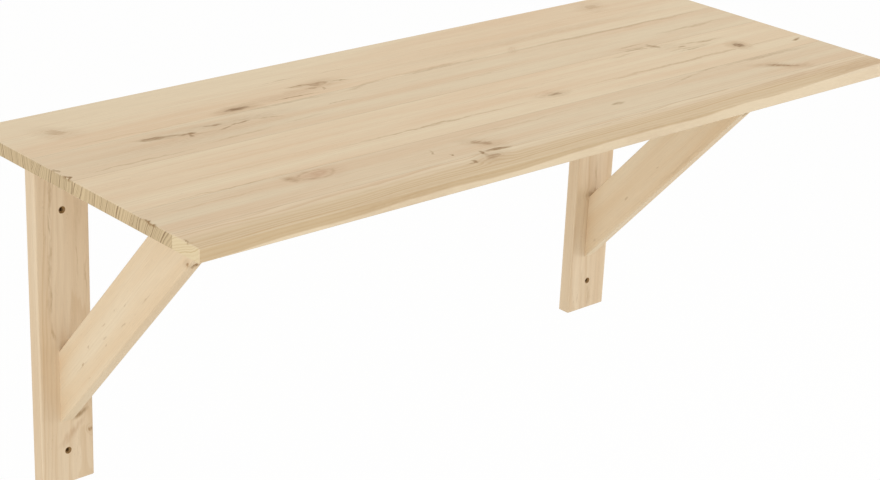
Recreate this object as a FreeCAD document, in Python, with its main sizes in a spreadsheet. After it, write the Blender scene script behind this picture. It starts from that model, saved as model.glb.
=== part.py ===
"""Wall-mounted pine table: an edge-glued top carried by two wall posts and two diagonal braces.

Frame, in millimetres: X runs along the table, Y points into the wall, Z is up. The wall plane is
y = 0, and the origin is the centre of the four wall-screw holes. Everything stands in front of the
wall, at negative y.
"""
import FreeCAD, Part
import os
import Sketcher

doc = FreeCAD.newDocument("WallTable")
Vector = FreeCAD.Vector

# Driving dimensions, in millimetres and degrees

sizes = doc.addObject("Spreadsheet::Sheet", "Sizes")
DIMENSIONS = (
    ("top_length", 1200, "tabletop along the wall"),
    ("top_depth", 475, "tabletop from the wall to the front edge"),
    ("top_thickness", 18, "edge-glued board"),
    ("rear_stave", 135, "width of the stave against the wall"),
    ("second_stave", 90, "width"),
    ("middle_stave", 122, "width"),
    ("fourth_stave", 77, "width, and the front stave takes the rest"),
    ("front_round", 2.5, "radius on the two long front arrises"),
    ("end_ease", 0.8, "chamfer on the arrises of the two ends"),
    ("post_width", 80, "along the wall"),
    ("post_thickness", 20, "out from the wall"),
    ("post_length", 500, "upright, from its foot to the underside of the top"),
    ("post_inset", 70, "from the end of the top to the outer side of a post"),
    ("post_round", 3, "radius on the two front arrises of a post"),
    ("post_foot_ease", 1, "chamfer round the foot of a post"),
    ("hole_height", 48, "lower wall hole above the foot of a post"),
    ("hole_spacing", 344, "between the two wall holes of a post"),
    ("wall_hole", 5.5, "diameter for the wall screw"),
    ("wall_sink", 9.5, "diameter of its countersink"),
    ("brace_thickness", 20, "along the wall"),
    ("brace_depth", 70, "across the board, square to its length"),
    ("brace_slope", 48, "degrees above level"),
    ("brace_height", 92, "lower corner of the butt above the foot of a post"),
    ("brace_round", 1.8, "radius on the four long arrises of a brace"),
    ("dowel_diameter", 8, "glued in the end of a post and in the top"),
    ("dowel_length", 36, ""),
    ("dowel_in_top", 12, "its depth in the underside of the top"),
    ("dowel_pitch", 44, "between the two dowels of a post"),
    ("dowel_ease", 0.5, "chamfer on both ends"),
    ("dowel_spare", 1, "glue space at each end of a dowel"),
    ("screw_diameter", 4, "over the thread"),
    ("screw_head", 8, "diameter of a head"),
    ("pan_height", 2.6, "height of the flat-bottomed head of a top screw"),
    ("head_sunk", 0.5, "how far the head of a foot screw lies below the wood"),
    ("screw_point", 4, "length of the point"),
    ("recess_span", 4.4, "across the cross recess"),
    ("recess_slot", 1.1, "width of its slots"),
    ("recess_depth", 1.7, ""),
    ("foot_screw", 45, "length of the screws through a post into a brace"),
    ("foot_screw_height", 42, "lower one above the corner of the butt"),
    ("foot_screw_pitch", 40, "between the two"),
    ("top_screw", 50, "length of the screw up through a brace into the top"),
    ("top_screw_reach", 310, "from the wall"),
    ("top_screw_cover", 40, "from its head to the underside of the top"),
    ("bore_width", 8.4, "diameter of the bore that its head goes up through"),
    ("pilot_spare", 1, "depth of a pilot hole past the screw's point"),
)
for row, (alias, number, note) in enumerate(DIMENSIONS, 1):
    sizes.set("A%d" % row, alias)
    sizes.set("B%d" % row, str(number))
    sizes.set("C%d" % row, note)
    sizes.setAlias("B%d" % row, alias)
doc.recompute()

# Heights and places worked out from them, as expressions of the sheet

FOOT = "-(Sizes.hole_height + Sizes.hole_spacing / 2)"
UNDER = "(" + FOOT + " + Sizes.post_length)"
SURFACE = "(" + UNDER + " + Sizes.top_thickness)"
POST_X = "(Sizes.top_length / 2 - Sizes.post_inset - Sizes.post_width / 2)"
BUTT_LOW = "(" + FOOT + " + Sizes.brace_height)"
BUTT_HIGH = "(" + BUTT_LOW + " + Sizes.brace_depth / cos(Sizes.brace_slope))"
SIDES = (("left", "-"), ("right", ""))


def value(text):
    """The number that an expression of the sheet gives."""
    return float(sizes.evalExpression(text))


# Sketches and features

def add_body(label):
    body = doc.addObject("PartDesign::Body", label)
    body.Label = label
    return body


def add_sketch(body, name, plane, lift=None, slide=None):
    """A sketch on one of the body's own planes, lifted along its normal or slid along its x."""
    sketch = body.newObject("Sketcher::SketchObject", body.Label + "_" + name)
    origin_plane = next(f for f in body.Origin.OriginFeatures if f.Role == plane)
    sketch.AttachmentSupport = [(origin_plane, "")]
    sketch.MapMode = "FlatFace"
    if lift:
        sketch.setExpression("AttachmentOffset.Base.z", lift)
    if slide:
        sketch.setExpression("AttachmentOffset.Base.x", slide)
    return sketch


def fix_point(sketch, geometry, point, x_text, y_text):
    for kind, text in (("DistanceX", x_text), ("DistanceY", y_text)):
        index = sketch.addConstraint(Sketcher.Constraint(kind, -1, 1, geometry, point, value(text)))
        sketch.setExpression("Constraints[%d]" % index, text)


def draw_outline(sketch, corners):
    """A closed outline of straight edges whose corners follow the sheet."""
    points = [Vector(value(x), value(y), 0) for x, y in corners]
    for i, start in enumerate(points):
        sketch.addGeometry(Part.LineSegment(start, points[(i + 1) % len(points)]))
    for i, (x_text, y_text) in enumerate(corners):
        sketch.addConstraint(Sketcher.Constraint("Coincident", i, 2, (i + 1) % len(corners), 1))
        fix_point(sketch, i, 1, x_text, y_text)


def draw_circles(sketch, centres, diameter):
    for x_text, y_text in centres:
        centre = Vector(value(x_text), value(y_text), 0)
        circle = sketch.addGeometry(Part.Circle(centre, Vector(0, 0, 1), value(diameter) / 2))
        fix_point(sketch, circle, 3, x_text, y_text)
        index = sketch.addConstraint(Sketcher.Constraint("Diameter", circle, value(diameter)))
        sketch.setExpression("Constraints[%d]" % index, diameter)


def add_pad(body, sketch, length, both_ways=False):
    pad = body.newObject("PartDesign::Pad", sketch.Label + "_pad")
    pad.Profile = sketch
    pad.SideType = "Symmetric" if both_ways else "One side"
    pad.setExpression("Length", length)
    doc.recompute()
    return pad


def add_cut(body, kind, sketch, settings, texts):
    """A pocket, hole or groove that has to take material away."""
    before = body.Shape.Volume
    cut = body.newObject("PartDesign::" + kind, sketch.Label + "_" + kind.lower())
    cut.Profile = sketch
    doc.recompute()
    for name, setting in settings.items():
        setattr(cut, name, setting)
    for name, text in texts.items():
        cut.setExpression(name, text)
    doc.recompute()
    if not body.Shape.Volume < before - 1:
        raise RuntimeError(cut.Label + " cuts nothing")
    return cut


def ease_edges(body, kind, size, wanted):
    """A fillet or chamfer on the edges of the body's last feature that wanted(edge) picks."""
    last = body.Tip
    names = ["Edge%d" % i for i, edge in enumerate(last.Shape.Edges, 1) if wanted(edge)]
    ease = body.newObject("PartDesign::" + kind, body.Label + "_" + kind.lower())
    ease.Base = (last, names)
    ease.setExpression("Radius" if kind == "Fillet" else "Size", size)
    doc.recompute()
    return ease


def runs_along(edge, axis):
    """True for a straight edge parallel to the axis."""
    if not isinstance(edge.Curve, Part.Line):
        return False
    return abs(edge.Curve.Direction.dot(axis)) > 0.999


def place(obj, x="0", y="0", z="0"):
    for name, text in (("x", x), ("y", y), ("z", z)):
        obj.setExpression("Placement.Base." + name, text)


# Tabletop: five staves glued edge to edge, the first against the wall

STAVES = (
    ("top_stave_rear", "Sizes.rear_stave"),
    ("top_stave_second", "Sizes.second_stave"),
    ("top_stave_middle", "Sizes.middle_stave"),
    ("top_stave_fourth", "Sizes.fourth_stave"),
    ("top_stave_front", None),
)
half_length = value("Sizes.top_length / 2")
front_y = value("-Sizes.top_depth")


def at_an_end(edge):
    """An arris of the stave's end, above or below."""
    middle = edge.CenterOfMass
    return runs_along(edge, Vector(0, 1, 0)) and abs(abs(middle.x) - half_length) < 0.01


def at_the_front(edge):
    return runs_along(edge, Vector(1, 0, 0)) and abs(edge.CenterOfMass.y - front_y) < 0.01


def make_stave(label, back, front):
    body = add_body(label)
    section = add_sketch(body, "section", "YZ_Plane")
    draw_outline(section, ((back, UNDER), (back, SURFACE), (front, SURFACE), (front, UNDER)))
    add_pad(body, section, "Sizes.top_length", both_ways=True)
    return body


staves = {}
back = "0"
for label, width in STAVES:
    front = "-Sizes.top_depth" if width is None else back + " - " + width
    staves[label] = make_stave(label, back, front)
    back = front
ease_edges(staves["top_stave_front"], "Fillet", "Sizes.front_round", at_the_front)

# The rear stave takes the dowels of the posts, and the middle one the points of the top screws
dowel_holes = add_sketch(staves["top_stave_rear"], "dowel_holes", "XY_Plane", lift=UNDER)
draw_circles(
    dowel_holes,
    [(side + POST_X + step + "Sizes.dowel_pitch / 2", "-Sizes.post_thickness / 2")
     for _, side in SIDES for step in (" - ", " + ")],
    "Sizes.dowel_diameter",
)
add_cut(
    staves["top_stave_rear"], "Pocket", dowel_holes, {"Reversed": True},
    {"Length": "Sizes.dowel_in_top + Sizes.dowel_spare"},
)
pilots = add_sketch(staves["top_stave_middle"], "pilots", "XY_Plane", lift=UNDER)
draw_circles(
    pilots,
    [(side + POST_X, "-Sizes.top_screw_reach") for _, side in SIDES],
    "Sizes.screw_diameter",
)
add_cut(
    staves["top_stave_middle"], "Pocket", pilots, {"Reversed": True},
    {"Length": "Sizes.top_screw - Sizes.top_screw_cover + Sizes.pilot_spare"},
)
for body in staves.values():
    ease_edges(body, "Chamfer", "Sizes.end_ease", at_an_end)


# Posts: upright boards flat on the wall, with countersunk wall holes and dowelled upper ends

def make_post(label, side):
    body = add_body(label)
    section = add_sketch(body, "section", "XY_Plane", lift=FOOT)
    half, deep = "Sizes.post_width / 2", "-Sizes.post_thickness"
    draw_outline(section, (("-" + half, "0"), ("-" + half, deep), (half, deep), (half, "0")))
    add_pad(body, section, "Sizes.post_length")

    foot_z, face_y = value(FOOT), value(deep)
    ease_edges(
        body, "Fillet", "Sizes.post_round",
        lambda edge: runs_along(edge, Vector(0, 0, 1)) and abs(edge.CenterOfMass.y - face_y) < 0.01,
    )
    ease_edges(
        body, "Chamfer", "Sizes.post_foot_ease",
        lambda edge: edge.BoundBox.ZMax < foot_z + 0.01 and edge.BoundBox.YMin < -0.01,
    )

    wall_holes = add_sketch(body, "wall_holes", "XZ_Plane", lift="Sizes.post_thickness")
    draw_circles(
        wall_holes,
        [("0", "-Sizes.hole_spacing / 2"), ("0", "Sizes.hole_spacing / 2")],
        "Sizes.wall_hole",
    )
    add_cut(
        body, "Hole", wall_holes,
        {"DepthType": "ThroughAll", "HoleCutType": "Countersink", "HoleCutCustomValues": True,
         "HoleCutCountersinkAngle": 90},
        {"Diameter": "Sizes.wall_hole", "HoleCutDiameter": "Sizes.wall_sink"},
    )

    screw_holes = add_sketch(body, "screw_holes", "XZ_Plane")
    lower = BUTT_LOW + " + Sizes.foot_screw_height"
    draw_circles(
        screw_holes, [("0", lower), ("0", lower + " + Sizes.foot_screw_pitch")],
        "Sizes.screw_diameter",
    )
    add_cut(
        body, "Hole", screw_holes,
        {"DepthType": "ThroughAll", "Reversed": True, "HoleCutType": "Countersink",
         "HoleCutCustomValues": True, "HoleCutCountersinkAngle": 90},
        {"Diameter": "Sizes.screw_diameter",
         "HoleCutDiameter": "Sizes.screw_head + 2 * Sizes.head_sunk"},
    )

    post_dowels = add_sketch(body, "dowel_holes", "XY_Plane", lift=UNDER)
    middle = "-Sizes.post_thickness / 2"
    draw_circles(
        post_dowels, [("-Sizes.dowel_pitch / 2", middle), ("Sizes.dowel_pitch / 2", middle)],
        "Sizes.dowel_diameter",
    )
    add_cut(
        body, "Pocket", post_dowels, {},
        {"Length": "Sizes.dowel_length - Sizes.dowel_in_top + Sizes.dowel_spare"},
    )
    place(body, x=side + POST_X)
    return body


# Braces: sawn upright against the post and level under the top, and screwed at both ends

def make_brace(label, side):
    body = add_body(label)
    profile = add_sketch(body, "profile", "YZ_Plane")
    butt = "-Sizes.post_thickness"
    reach_rear = butt + " - (" + UNDER + " - " + BUTT_HIGH + ") / tan(Sizes.brace_slope)"
    reach_front = butt + " - (" + UNDER + " - " + BUTT_LOW + ") / tan(Sizes.brace_slope)"
    draw_outline(
        profile,
        ((butt, BUTT_LOW), (butt, BUTT_HIGH), (reach_rear, UNDER), (reach_front, UNDER)),
    )
    add_pad(body, profile, "Sizes.brace_thickness", both_ways=True)
    along = Vector(0, -value("cos(Sizes.brace_slope)"), value("sin(Sizes.brace_slope)"))
    ease_edges(body, "Fillet", "Sizes.brace_round", lambda edge: runs_along(edge, along))

    foot_pilots = add_sketch(body, "foot_pilots", "XZ_Plane", lift="Sizes.post_thickness")
    lower = BUTT_LOW + " + Sizes.foot_screw_height"
    draw_circles(
        foot_pilots, [("0", lower), ("0", lower + " + Sizes.foot_screw_pitch")],
        "Sizes.screw_diameter",
    )
    add_cut(
        body, "Pocket", foot_pilots, {"Reversed": True},
        {"Length": "Sizes.foot_screw + Sizes.head_sunk - Sizes.post_thickness + Sizes.pilot_spare"},
    )

    # Stepped bore for the top screw: wide up to the flat seat of its head, then its thread
    bore = add_sketch(body, "bore", "YZ_Plane", slide="-Sizes.top_screw_reach")
    seat = UNDER + " - Sizes.top_screw_cover + Sizes.pan_height"
    wide, narrow = "Sizes.bore_width / 2", "Sizes.screw_diameter / 2"
    draw_outline(
        bore,
        (("0", BUTT_LOW), (wide, BUTT_LOW), (wide, seat), (narrow, seat), (narrow, UNDER),
         ("0", UNDER)),
    )
    add_cut(body, "Groove", bore, {"ReferenceAxis": (bore, ["V_Axis"])}, {})
    place(body, x=side + POST_X)
    return body


# Beech dowels that join the upper end of each post to the top

def make_dowel(label, x_text):
    pin = doc.addObject("Part::Cylinder", label + "_pin")
    pin.setExpression("Radius", "Sizes.dowel_diameter / 2")
    pin.setExpression("Height", "Sizes.dowel_length")
    lower_end = UNDER + " + Sizes.dowel_in_top - Sizes.dowel_length"
    place(pin, x_text, "-Sizes.post_thickness / 2", lower_end)
    doc.recompute()
    ease = value("Sizes.dowel_ease")
    dowel = doc.addObject("Part::Chamfer", label)
    dowel.Label = label
    dowel.Base = pin
    dowel.Edges = [(i, ease, ease) for i, edge in enumerate(pin.Shape.Edges, 1)
                   if isinstance(edge.Curve, Part.Circle)]
    return dowel


# Wood screws, point down, with the face of the head at the origin of the screw

SCREW_HEAD, SCREW_THREAD = "Sizes.screw_head / 2", "Sizes.screw_diameter / 2"
COUNTERSUNK_HEAD = ((SCREW_HEAD, "0"), (SCREW_THREAD, "-(" + SCREW_HEAD + " - " + SCREW_THREAD + ")"))
PAN_HEAD = ((SCREW_HEAD, "0"), (SCREW_HEAD, "-Sizes.pan_height"), (SCREW_THREAD, "-Sizes.pan_height"))


def make_screw(label, length, head):
    body = add_body(label)
    profile = add_sketch(body, "profile", "XZ_Plane")
    draw_outline(
        profile,
        (("0", "0"),) + head
        + ((SCREW_THREAD, "-" + length + " + Sizes.screw_point"), ("0", "-" + length)),
    )
    turned = body.newObject("PartDesign::Revolution", label + "_turned")
    turned.Profile = profile
    turned.ReferenceAxis = (profile, ["V_Axis"])
    turned.Angle = 360
    doc.recompute()

    recess = add_sketch(body, "recess", "XY_Plane")
    long, short = "Sizes.recess_span / 2", "Sizes.recess_slot / 2"
    quarter = ((long, short), (short, short), (short, long))
    corners = []
    for x_sign, y_sign, swap in (("", "", False), ("-", "", True), ("-", "-", False), ("", "-", True)):
        turn = reversed(quarter) if swap else quarter
        corners += [(x_sign + x_text, y_sign + y_text) for x_text, y_text in turn]
    draw_outline(recess, corners)
    add_cut(body, "Pocket", recess, {}, {"Length": "Sizes.recess_depth"})
    return body


into_the_wood = FreeCAD.Rotation(Vector(1, 0, 0), -90)
upwards = FreeCAD.Rotation(Vector(1, 0, 0), 180)
parts = list(staves.values())
for name, side in SIDES:
    centre = side + POST_X
    parts.append(make_post(name + "_post", side))
    parts.append(make_brace(name + "_brace", side))
    for which, step in (("outer", side or "+"), ("inner", "+" if side else "-")):
        parts.append(make_dowel(
            name + "_dowel_" + which, centre + " " + step + " Sizes.dowel_pitch / 2"))
    lower = BUTT_LOW + " + Sizes.foot_screw_height"
    for which, height in (("lower", lower), ("upper", lower + " + Sizes.foot_screw_pitch")):
        screw = make_screw(name + "_foot_screw_" + which, "Sizes.foot_screw", COUNTERSUNK_HEAD)
        screw.Placement.Rotation = into_the_wood
        place(screw, centre, "-Sizes.head_sunk", height)
        parts.append(screw)
    screw = make_screw(name + "_top_screw", "Sizes.top_screw", PAN_HEAD)
    screw.Placement.Rotation = upwards
    place(screw, centre, "-Sizes.top_screw_reach", UNDER + " - Sizes.top_screw_cover")
    parts.append(screw)
doc.recompute()

# Every object has to be sound before anything is written

for obj in doc.Objects:
    if "Invalid" in obj.State or "Error" in obj.State:
        raise RuntimeError(obj.Label + " did not recompute")
for part in parts:
    shape = part.Shape
    if shape.isNull() or not shape.isValid() or len(shape.Solids) != 1:
        raise RuntimeError(part.Label + " is not one sound solid")

os.makedirs("parts", exist_ok=True)
for part in parts:
    part.Shape.exportStep("parts/" + part.Label + ".step")
    print("%-24s %7.1f cm3" % (part.Label, part.Shape.Volume / 1000))
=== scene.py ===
import math

import bpy
from mathutils import Matrix, Vector


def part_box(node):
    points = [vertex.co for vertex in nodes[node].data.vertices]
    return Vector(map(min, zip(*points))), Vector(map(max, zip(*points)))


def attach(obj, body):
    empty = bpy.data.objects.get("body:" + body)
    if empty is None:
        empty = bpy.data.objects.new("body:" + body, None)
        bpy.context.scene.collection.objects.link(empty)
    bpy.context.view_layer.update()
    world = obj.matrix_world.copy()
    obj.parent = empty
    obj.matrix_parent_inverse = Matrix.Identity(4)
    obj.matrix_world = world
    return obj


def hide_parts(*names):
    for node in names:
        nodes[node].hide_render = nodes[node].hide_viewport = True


# A wall-mounted pine table. Lengths are in metres, in the frame of the loaded pieces:
# X runs along the table, Y into the wall, Z up. A name that ends in Mm holds millimetres.

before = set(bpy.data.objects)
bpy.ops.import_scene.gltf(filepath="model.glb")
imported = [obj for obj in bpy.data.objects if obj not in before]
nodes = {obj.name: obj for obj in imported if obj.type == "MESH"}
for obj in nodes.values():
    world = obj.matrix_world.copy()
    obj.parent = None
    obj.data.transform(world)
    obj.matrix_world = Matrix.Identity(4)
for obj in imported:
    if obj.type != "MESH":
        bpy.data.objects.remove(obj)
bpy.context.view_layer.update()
mm = 0.001
print("frame loaded,", len(nodes), "pieces")


# Small helpers

def linearColour(hexCode):  # a colour socket wants linear light, and the palettes are sRGB
    channels = [int(hexCode[i:i + 2], 16) / 255 for i in (1, 3, 5)]
    return [c / 12.92 if c <= 0.04045 else ((c + 0.055) / 1.055) ** 2.4 for c in channels] + [1]


def addNode(tree, kind, inputs=None, **settings):  # an input is a number, a socket or a node
    node = tree.nodes.new("ShaderNode" + kind)
    for name, setting in settings.items():
        setattr(node, name, setting)
    for socket, given in (inputs or {}).items():
        if isinstance(given, bpy.types.Node):
            given = next(output for output in given.outputs if output.enabled)
        if isinstance(given, bpy.types.NodeSocket):
            tree.links.new(given, node.inputs[socket])
        else:
            node.inputs[socket].default_value = given
    return node


def newGroup(name, inputs, outputs):  # returns the group, its input node and its output node
    group = bpy.data.node_groups.new(name, "ShaderNodeTree")
    for socket, kind in inputs.items():
        group.interface.new_socket(socket, in_out="INPUT", socket_type="NodeSocket" + kind)
    for socket, kind in outputs.items():
        group.interface.new_socket(socket, in_out="OUTPUT", socket_type="NodeSocket" + kind)
    return group, group.nodes.new("NodeGroupInput"), group.nodes.new("NodeGroupOutput")


def newMaterial(name):
    material = bpy.data.materials.new(name)
    material.use_nodes = True
    material.node_tree.nodes.clear()
    return material, material.node_tree


# Camera: found from the straight edges of the photo

camera = {
    "place": (-1.798, -2.1665, 1.155),
    "yaw": 42.405,  # degrees from +Y towards +X
    "dip": 22.069,  # degrees below level
    "roll": -2.659,
    "focalPixels": 2089.8,
    "photoPixels": 880,  # its width
    "sensorMm": 36,
    "clipEnd": 50,
}


def makeCamera():
    yaw, dip, roll = (math.radians(camera[angle]) for angle in ("yaw", "dip", "roll"))
    forward = Vector((math.sin(yaw) * math.cos(dip), math.cos(yaw) * math.cos(dip), -math.sin(dip)))
    level = Vector((math.cos(yaw), -math.sin(yaw), 0))
    down = forward.cross(level)
    right = level * math.cos(roll) + down * math.sin(roll)
    down = forward.cross(right)
    data = bpy.data.cameras.new("camera")
    data.sensor_width = camera["sensorMm"]
    data.lens = camera["focalPixels"] * camera["sensorMm"] / camera["photoPixels"]
    data.clip_end = camera["clipEnd"]
    cameraObject = bpy.data.objects.new("camera", data)
    turn = Matrix((right, -down, -forward)).transposed().to_4x4()
    cameraObject.matrix_world = Matrix.Translation(camera["place"]) @ turn
    bpy.context.collection.objects.link(cameraObject)
    bpy.context.scene.camera = cameraObject


makeCamera()
print("camera placed")


# Stage: a pale floor far below the table, white air round it, and soft boxes

stage = {
    "floorHeight": -1.0,
    "floorSize": 14,
    "floorColour": "#e3dfd6",
    "floorRoughness": {"To Min": 0.86, "To Max": 0.94},
    "floorSpeckMm": 15.5,  # the paper's own are too fine to show
    "floorGlow": 0.965,  # how much of the floor the camera sees as plain white
    "ambient": 0.88,
    # name: place, aimed at, width, height, watts
    "lamps": {
        "leftBox": ((-3.4, -1.9, 0.35), (0, -0.2, 0.05), 1.6, 1.6, 38),
        "rightBox": ((3.2, -1.2, 0.2), (0, -0.2, 0.0), 1.0, 1.2, 32),
        "topBox": ((0.6, 0.4, 3.4), (0, -0.25, 0.2), 2.6, 2.0, 22),
    },
}


def seenPlainly(tree):  # 1 for what the camera sees straight, in a gloss or through glass
    path = addNode(tree, "LightPath").outputs
    seen = addNode(tree, "Math", {0: path["Is Camera Ray"], 1: path["Is Glossy Ray"]},
                   operation="MAXIMUM")
    return addNode(tree, "Math", {0: seen, 1: path["Is Transmission Ray"]}, operation="MAXIMUM")


def makeStage():
    bpy.ops.object.select_all(action="DESELECT")
    bpy.ops.mesh.primitive_plane_add(size=stage["floorSize"], location=(0, 0, stage["floorHeight"]))
    floor = bpy.context.object
    floor.name = "floor"
    bpy.ops.object.transform_apply(location=True, rotation=True, scale=True)

    # Matt white paper: the camera sees it nearly white, and it still takes the table's soft shadow
    material, tree = newMaterial("matt white paper floor")
    place = addNode(tree, "TexCoord").outputs["Object"]
    specks = addNode(tree, "TexNoise", {"Vector": place, "Scale": 1 / (stage["floorSpeckMm"] * mm),
                                        "Detail": 2})
    roughness = addNode(tree, "MapRange", {"Value": specks} | stage["floorRoughness"])
    paper = addNode(tree, "BsdfPrincipled", {
        "Base Color": linearColour(stage["floorColour"]), "Roughness": roughness})
    glow = addNode(tree, "Emission", {"Color": (1, 1, 1, 1), "Strength": 1})
    share = addNode(tree, "Math", {0: seenPlainly(tree), 1: stage["floorGlow"]}, operation="MULTIPLY")
    surface = addNode(tree, "MixShader", {0: share, 1: paper, 2: glow})
    addNode(tree, "OutputMaterial", {"Surface": surface})
    floor.data.materials.append(material)

    world = bpy.data.worlds.new("white air")
    world.use_nodes = True
    tree = world.node_tree
    tree.nodes.clear()
    strength = addNode(tree, "MapRange", {"Value": seenPlainly(tree), "To Min": stage["ambient"]})
    air = addNode(tree, "Background", {"Color": (1, 1, 1, 1), "Strength": strength})
    addNode(tree, "OutputWorld", {"Surface": air})
    bpy.context.scene.world = world

    for name, (place, target, width, height, watts) in stage["lamps"].items():
        data = bpy.data.lights.new(name, "AREA")
        data.shape = "RECTANGLE"
        data.size = width
        data.size_y = height
        data.energy = watts
        lamp = bpy.data.objects.new(name, data)
        lamp.location = place
        lamp.rotation_euler = (Vector(target) - Vector(place)).to_track_quat("-Z", "Y").to_euler()
        bpy.context.collection.objects.link(lamp)
    bpy.context.scene.view_settings.view_transform = "Standard"


makeStage()
print("stage lit")


# Raw pine. The patterns work in a board's own axes, in millimetres: x along the grain, y across
# the width, z through the thickness. Year rings are cylinders round a pith beside the board.

pineGrain = {
    "apartMm": (917, 311, 173),  # from one board's cut of the patterns to the next one's
    # Run along the grain, run across it, detail and roughness. Real fibres and resin canals are
    # finer than a picture shows, so they are drawn this coarse.
    "patternsMm": {
        "wander": (260, 45, 1.5, 0.5),
        "waver": (55, 9, 1, 0.5),
        "Fibre": (26, 0.8, 3, 0.5),
        "Flecks": (5.5, 0.9, 0, 0.5),
        "patches": (60, 18, 1, 0.5),
        "Tone": (420, 24, 2, 0.5),
    },
    "waverMm": 1,
    "weatherPace": 0.13,  # how fast wet and dry years take turns
    "weatherYears": 7,  # how far they shift the rings
    "lateRise": {"From Min": 0.3, "From Max": 0.9},  # where in a year the late wood starts and is full
    "lateFall": {"From Min": 1, "From Max": 0.93},
    "yearStrength": {"To Min": 0.15, "To Max": 1},
    "fleckEdge": {"From Min": 0.72, "From Max": 0.8},
    "patchEdge": {"From Min": 0.5, "From Max": 0.65},
}


def patternsAlong(tree, place, patternsMm):  # noises drawn out along the grain
    patterns = {}
    for name, (alongMm, acrossMm, detail, roughness) in patternsMm.items():
        drawnOut = addNode(tree, "VectorMath", {0: place, 1: (1 / alongMm, 1 / acrossMm, 1 / acrossMm)},
                           operation="MULTIPLY")
        patterns[name] = addNode(tree, "TexNoise", {"Vector": drawnOut, "Scale": 1, "Detail": detail,
                                                    "Roughness": roughness})
    return patterns


def makeGrainGroup():
    group, given, result = newGroup(
        "pine grain",
        {"Position": "Vector", "Seed": "Float", "Pith": "Vector", "Lean": "Vector",
         "Ring Width": "Float", "Wander": "Float", "Bend": "Float"},
        {"Late": "Float", "Fibre": "Float", "Flecks": "Float", "Tone": "Float", "Radius": "Float"},
    )
    given = given.outputs
    shift = addNode(group, "VectorMath", {0: pineGrain["apartMm"], "Scale": given["Seed"]},
                    operation="SCALE")
    own = addNode(group, "VectorMath", {0: given["Position"], 1: shift}, operation="ADD")
    patterns = patternsAlong(group, own, pineGrain["patternsMm"])

    # Distance from the pith, with the wander of a hand's width and the waver of a finger's width
    along = addNode(group, "SeparateXYZ", {0: given["Position"]})
    leaning = addNode(group, "VectorMath", {0: given["Lean"], "Scale": along.outputs[0]}, operation="SCALE")
    pith = addNode(group, "VectorMath", {0: given["Pith"], 1: leaning}, operation="ADD")
    offset = addNode(group, "VectorMath", {0: given["Position"], 1: pith}, operation="SUBTRACT")
    offset = addNode(group, "VectorMath", {0: offset, 1: (0, 1, 1)}, operation="MULTIPLY")
    reach = addNode(group, "VectorMath", {0: offset}, operation="LENGTH")
    wander = addNode(group, "Math", {0: patterns["wander"], 1: 0.5}, operation="SUBTRACT")
    wander = addNode(group, "Math", {0: wander, 1: given["Wander"], 2: given["Bend"]},
                     operation="MULTIPLY_ADD")
    waver = addNode(group, "MapRange", {"Value": patterns["waver"], "To Min": -pineGrain["waverMm"],
                                        "To Max": pineGrain["waverMm"]})
    radius = addNode(group, "Math", {0: reach.outputs["Value"], 1: wander}, operation="ADD")
    radius = addNode(group, "Math", {0: radius, 1: waver}, operation="ADD")

    # Wet and dry years: the rings stand closer in some places than in others, and some are faint
    years = addNode(group, "Math", {0: radius, 1: given["Ring Width"]}, operation="DIVIDE")
    weather = addNode(group, "TexNoise", {"W": years, "Scale": pineGrain["weatherPace"], "Detail": 1},
                      noise_dimensions="1D")
    years = addNode(group, "Math", {0: weather, 1: pineGrain["weatherYears"], 2: years},
                    operation="MULTIPLY_ADD")
    season = addNode(group, "Math", {0: years}, operation="FRACT")
    year = addNode(group, "Math", {0: years}, operation="FLOOR")
    rise = addNode(group, "MapRange", {"Value": season} | pineGrain["lateRise"],
                   interpolation_type="SMOOTHSTEP")
    fall = addNode(group, "MapRange", {"Value": season} | pineGrain["lateFall"])
    late = addNode(group, "Math", {0: rise, 1: fall}, operation="MULTIPLY")
    strong = addNode(group, "TexWhiteNoise", {"W": year}, noise_dimensions="1D").outputs["Value"]
    strong = addNode(group, "MapRange", {"Value": strong} | pineGrain["yearStrength"])
    late = addNode(group, "Math", {0: late, 1: strong}, operation="MULTIPLY")

    # Resin canals: short dark dashes, in patches
    flecks = addNode(group, "MapRange", {"Value": patterns["Flecks"]} | pineGrain["fleckEdge"])
    patches = addNode(group, "MapRange", {"Value": patterns["patches"]} | pineGrain["patchEdge"])
    flecks = addNode(group, "Math", {0: flecks, 1: patches}, operation="MULTIPLY")
    for name, node in (("Late", late), ("Fibre", patterns["Fibre"]), ("Flecks", flecks),
                       ("Tone", patterns["Tone"]), ("Radius", radius)):
        group.links.new(node.outputs[0], result.inputs[name])
    return group


# Marks in the wood, and some painted shade drawn as marks. Each of brown, red and black is as
# strong as the strongest mark there, and a knot also pushes the year rings aside.

knotShape = {  # distances from its middle, where 1 is its edge
    "rimAt": 0.95,
    "rim": {"From Min": 0.25, "From Max": 0},
    "halo": {"From Min": 2.2, "From Max": 0.9},
    "push": {"From Min": 2.6, "From Max": 0},
}


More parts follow.
